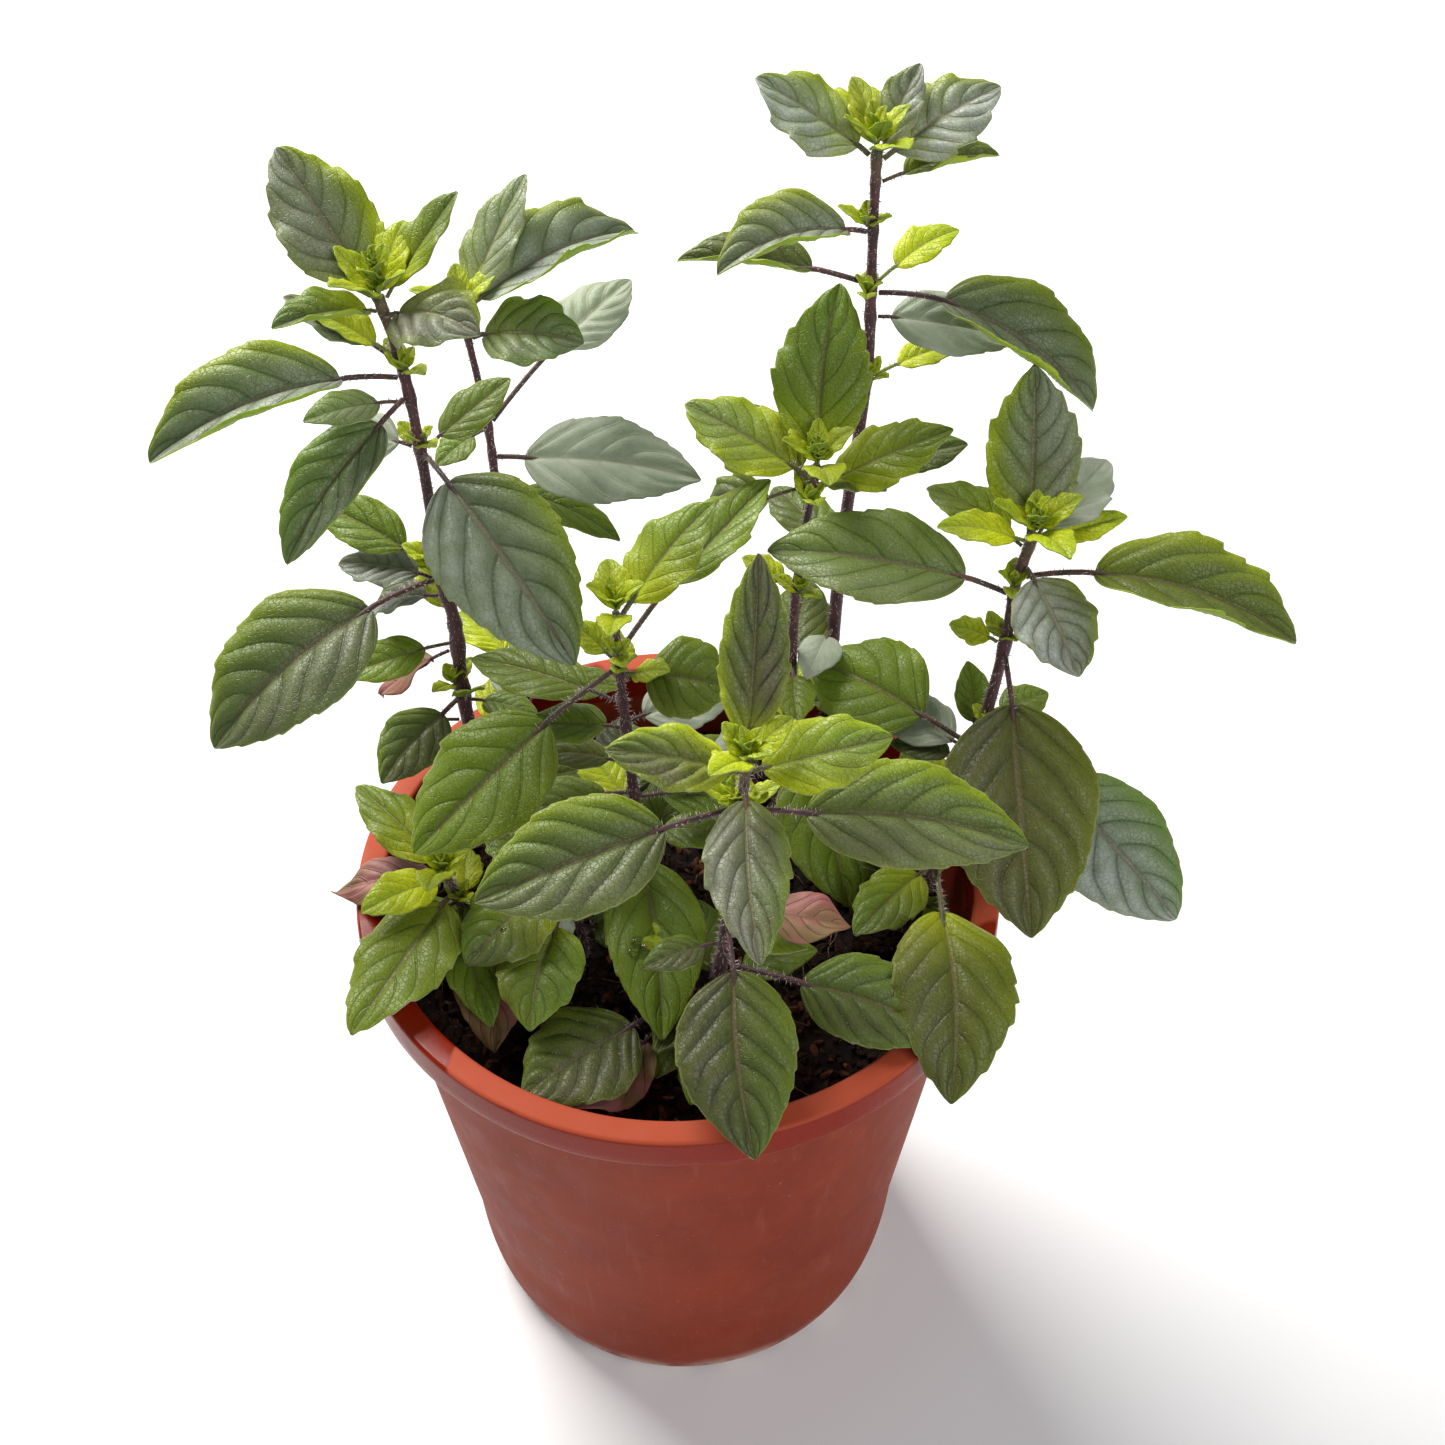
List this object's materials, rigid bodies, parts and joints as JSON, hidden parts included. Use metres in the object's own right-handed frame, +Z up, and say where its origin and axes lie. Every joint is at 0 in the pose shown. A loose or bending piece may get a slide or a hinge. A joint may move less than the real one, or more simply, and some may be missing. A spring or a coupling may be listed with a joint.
{
  "type": "potted herb",
  "caption": "Holy basil plant with serrated, veined leaves on purple hairy stems, growing in a round brick-red plastic pot with a rolled rim.",
  "frame": {"origin": "centre of the pot's flat base, on the surface that the pot stands on", "axes": "+Z up out of the pot, -Y towards the side that the hanging front leaves face, +X to the right of that side"},
  "size_m": [0.2553, 0.2045, 0.32],
  "materials": {
    "pot": "brick-red plastic, satin with dust, glossy where wet at the rim",
    "potting_mix": "dark wet coir and husk chips",
    "stem": "dark purple, hairy",
    "leaf_dark": "dark green with a grey-purple sheen",
    "leaf_green": "mid green, satin",
    "leaf_purple": "grey-purple over green, satin",
    "leaf_withered": "dry pink-brown"
  },
  "bodies": {
    "root": {"pot": "pot", "potting_mix": "potting_mix", "stem_left": "stem", "stem_left_rear": "stem", "stem_centre": "stem", "stem_front": "stem", "stem_front_low": "stem", "stem_left_low": "stem", "stem_rear": "stem", "stem_tall": "stem", "stem_right": "stem", "stem_right_low": "stem", "leaf_left_top_back": "leaf_dark", "leaf_left_top_front": "leaf_purple", "leaf_left_upper_back": "leaf_purple", "leaf_left_upper_outer": "leaf_dark", "leaf_left_drooping": "leaf_dark", "leaf_left_large_front": "leaf_dark", "leaf_left_large_outer": "leaf_dark", "leaf_left_lowest": "leaf_dark", "leaf_left_rear_large": "leaf_dark", "leaf_left_rear_short": "leaf_dark", "leaf_left_rear_pale": "leaf_purple", "leaf_left_rear_inner": "leaf_purple", "leaf_centre_top": "leaf_green", "leaf_centre_rear": "leaf_green", "leaf_centre_right": "leaf_green", "leaf_centre_large": "leaf_green", "leaf_centre_low": "leaf_green", "leaf_front_up": "leaf_purple", "leaf_front_left": "leaf_purple", "leaf_front_right": "leaf_green", "leaf_front_down": "leaf_purple", "leaf_front_large_left": "leaf_dark", "leaf_front_large_right": "leaf_dark", "leaf_front_hanging": "leaf_dark", "leaf_front_lower_right": "leaf_dark", "leaf_front_lower_left": "leaf_dark", "leaf_front_low_two_tone": "leaf_green", "leaf_front_low_withered": "leaf_withered", "leaf_left_low_back": "leaf_green", "leaf_left_low_purple": "leaf_withered", "leaf_left_low_outer": "leaf_green", "leaf_left_low_front": "leaf_green", "leaf_rear_up": "leaf_green", "leaf_rear_left": "leaf_green", "leaf_rear_right": "leaf_green", "leaf_tall_top_left": "leaf_dark", "leaf_tall_top_right": "leaf_dark", "leaf_tall_left": "leaf_dark", "leaf_tall_lower_left": "leaf_dark", "leaf_tall_arching_right": "leaf_dark", "leaf_right_up": "leaf_dark", "leaf_right_front": "leaf_purple", "leaf_right_far": "leaf_dark", "leaf_right_inner": "leaf_green", "leaf_right_largest": "leaf_dark", "leaf_right_lower": "leaf_dark", "leaf_right_lower_inner": "leaf_green", "leaf_right_low_overhang": "leaf_dark"}
  },
  "joints": []
}
